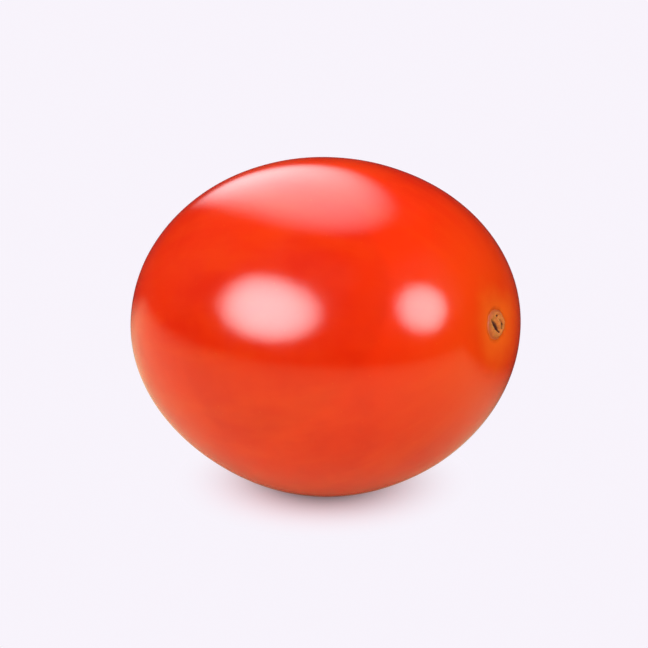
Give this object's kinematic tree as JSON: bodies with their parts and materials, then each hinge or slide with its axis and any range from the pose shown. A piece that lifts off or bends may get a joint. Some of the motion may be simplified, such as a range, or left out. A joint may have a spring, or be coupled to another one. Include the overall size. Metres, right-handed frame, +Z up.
{
  "type": "tomato",
  "caption": "Plum-shaped cherry tomato, ripe red, picked without its calyx, lying on its side with the stem scar at one end; a loose vegetable for kitchen and market scenes.",
  "frame": {"origin": "on the resting surface, at the middle of the fruit's bounding box seen from above", "axes": "+Z up from the resting flat; +X along the fruit's length, towards the stem scar, which is lifted about 10 degrees"},
  "size_m": [0.0332, 0.0284, 0.0279],
  "materials": {
    "tomato_skin": "smooth waxy ripe skin, glossy, orange-red, with a paler orange shoulder around a small corky tan scar"
  },
  "bodies": {
    "root": {"tomato": "tomato_skin"}
  },
  "joints": []
}
